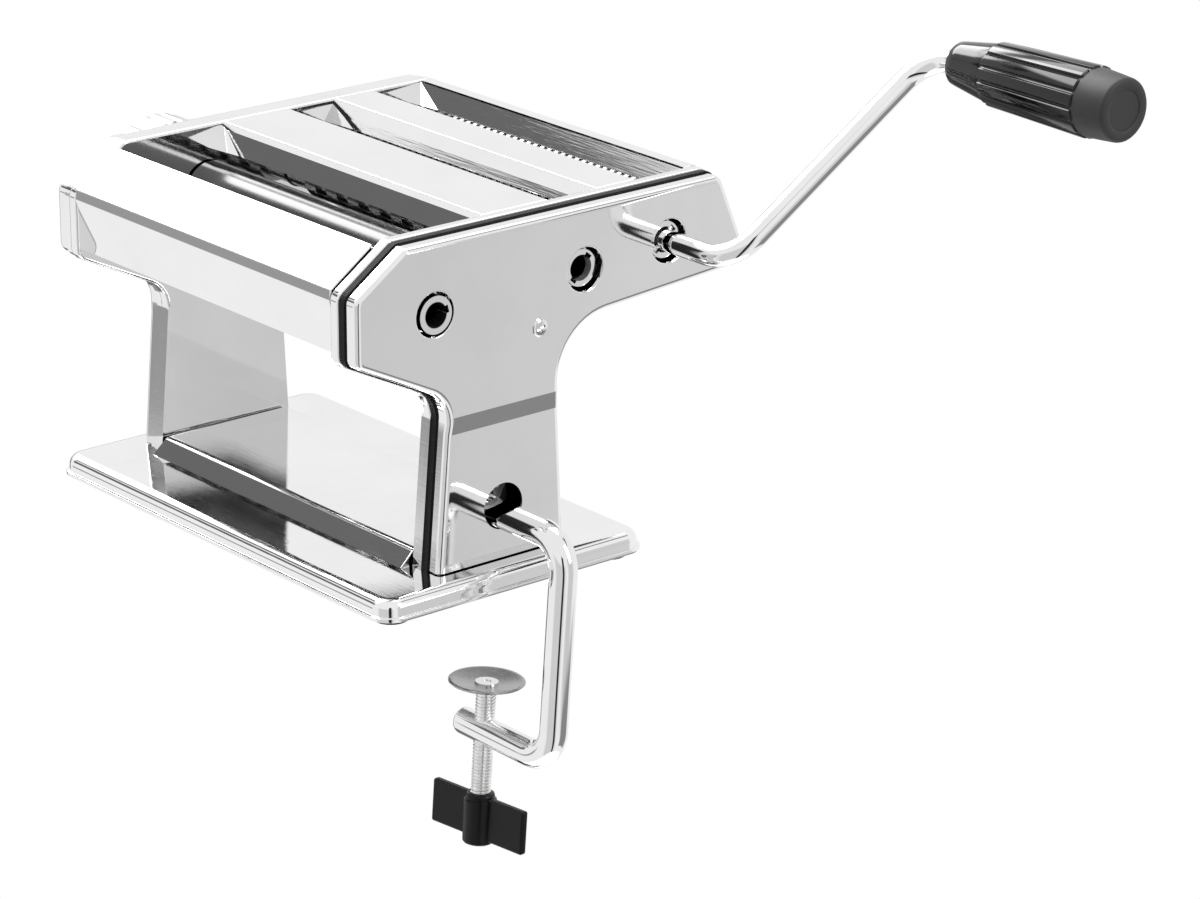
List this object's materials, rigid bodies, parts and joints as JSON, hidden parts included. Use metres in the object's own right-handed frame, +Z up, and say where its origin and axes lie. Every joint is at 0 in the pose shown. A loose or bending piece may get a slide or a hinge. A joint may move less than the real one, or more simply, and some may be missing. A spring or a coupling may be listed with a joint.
{
  "type": "pasta machine",
  "caption": "Hand-cranked pasta machine: a folded steel frame on a flat base with smooth rollers, two cutters, a thickness knob, a removable crank and a table clamp.",
  "frame": {"origin": "middle of the base on its flat underside, where a table top would be, less the rubber feet", "axes": "+X along the rollers towards the crank side, +Y to the rear, +Z up"},
  "size_m": [0.3445, 0.2238, 0.2873],
  "materials": {
    "polished": "polished",
    "satin": "satin",
    "zinc": "zinc plated",
    "bearing": "moulded",
    "seal": "matt black",
    "rubber": "matt black",
    "gloss_black": "glossy black",
    "matt_black": "matt black"
  },
  "bodies": {
    "frame": {"base_pan": "polished", "base_channel": "zinc", "rubber_feet": "rubber", "leg_screws": "zinc", "side_frame_right": "polished", "side_frame_left": "polished", "gasket_right": "seal", "gasket_left": "polished", "cover_right": "satin", "cover_left": "satin", "cover_posts": "zinc", "cover_screws": "zinc", "tie_rods": "zinc", "tie_nuts": "zinc", "front_cover": "polished", "rear_cover": "polished", "guide_front": "polished", "guide_middle": "polished", "guide_rear": "polished", "bushes": "bearing", "scraper_front": "bearing", "scraper_rear": "bearing", "combs_wide": "bearing", "combs_fine": "bearing", "regulator_dial": "matt_black", "clamp_guide": "zinc"},
    "smooth_front": {"smooth_roller_front": "satin", "gear_smooth_front": "zinc"},
    "roller_carriage": {"roller_slides": "zinc"},
    "smooth_rear": {"smooth_roller_rear": "satin", "gear_smooth_rear": "zinc"},
    "wide_front": {"wide_cutter_front": "polished", "gear_wide_front": "zinc"},
    "wide_rear": {"wide_cutter_rear": "polished", "gear_wide_rear": "zinc"},
    "fine_front": {"fine_cutter_front": "polished", "gear_fine_front": "zinc"},
    "fine_rear": {"fine_cutter_rear": "polished", "gear_fine_rear": "zinc"},
    "regulator": {"regulator_spindle": "zinc", "regulator_spring": "zinc"},
    "knob": {"regulator_knob": "polished", "knob_cap": "polished"},
    "crank": {"crank_rod": "polished", "crank_key": "zinc", "grip_washer": "zinc"},
    "grip": {"crank_grip": "gloss_black", "grip_cap": "matt_black"},
    "liner": {"clamp_liner": "seal"},
    "clamp": {"clamp_arm": "polished"},
    "pad": {"clamp_pad": "zinc"},
    "screw": {"clamp_screw": "zinc", "pad_rivet": "zinc", "clamp_wing": "gloss_black"}
  },
  "joints": [
    {"name": "smooth_spin", "type": "hinge", "parent": "frame", "child": "smooth_front", "pos_m": [0, -0.0284, 0.1027], "axis": [1, 0, 0], "continuous": true},
    {"name": "regulator_turn", "type": "hinge", "parent": "frame", "child": "regulator", "pos_m": [-0.1, -0.0064, 0.104], "axis": [1, 0, 0], "range_deg": [0, 270]},
    {"name": "gap_slide", "type": "slide", "parent": "frame", "child": "roller_carriage", "axis": [0, -0.9976, -0.0698], "range_m": [0, 0.0021]},
    {"name": "smooth_rear_spin", "type": "hinge", "parent": "roller_carriage", "child": "smooth_rear", "pos_m": [0, -0.00406, 0.1044], "axis": [1, 0, 0], "continuous": true},
    {"name": "knob_pull", "type": "slide", "parent": "regulator", "child": "knob", "axis": [-1, 0, 0], "range_m": [0, 0.003], "stiffness_N_per_m": 600, "springref_m": -0.004, "deforming": ["regulator_spring"]},
    {"name": "wide_spin", "type": "hinge", "parent": "frame", "child": "wide_front", "pos_m": [0, 0.0374, 0.1057], "axis": [1, 0, 0], "continuous": true},
    {"name": "wide_rear_spin", "type": "hinge", "parent": "frame", "child": "wide_rear", "pos_m": [0, 0.0544, 0.1057], "axis": [1, 0, 0], "continuous": true},
    {"name": "fine_spin", "type": "hinge", "parent": "frame", "child": "fine_front", "pos_m": [0, 0.0755, 0.1086], "axis": [1, 0, 0], "continuous": true},
    {"name": "fine_rear_spin", "type": "hinge", "parent": "frame", "child": "fine_rear", "pos_m": [0, 0.0925, 0.1086], "axis": [1, 0, 0], "continuous": true},
    {"name": "crank_pull", "type": "slide", "parent": "fine_front", "child": "crank", "axis": [1, 0, 0], "range_m": [0, 0.03]},
    {"name": "grip_spin", "type": "hinge", "parent": "crank", "child": "grip", "pos_m": [0.19, 0.14866, 0.1747], "axis": [1, 0, 0], "continuous": true},
    {"name": "clamp_swing", "type": "hinge", "parent": "frame", "child": "liner", "pos_m": [0.07, 0.001, 0.0236], "axis": [1, 0, 0], "range_deg": [-30, 30]},
    {"name": "clamp_slide", "type": "slide", "parent": "liner", "child": "clamp", "axis": [1, 0, 0], "range_m": [-0.018, 0.036]},
    {"name": "pad_lift", "type": "slide", "parent": "clamp", "child": "pad", "axis": [0, 0.0732, 0.9973], "range_m": [-0.01, 0.016]},
    {"name": "screw_turn", "type": "hinge", "parent": "pad", "child": "screw", "pos_m": [0.0857, -0.00493, -0.05718], "axis": [0, 0.0732, 0.9973], "range_deg": [-2880, 4608]}
  ],
  "couplings": [
    {"joint": "smooth_rear_spin", "follows": "smooth_spin", "ratio": -1},
    {"joint": "wide_rear_spin", "follows": "wide_spin", "ratio": -1},
    {"joint": "fine_rear_spin", "follows": "fine_spin", "ratio": -1},
    {"joint": "regulator_turn", "follows": "gap_slide", "rad_per_m": 2244},
    {"joint": "screw_turn", "follows": "pad_lift", "rad_per_m": 5026.5}
  ]
}
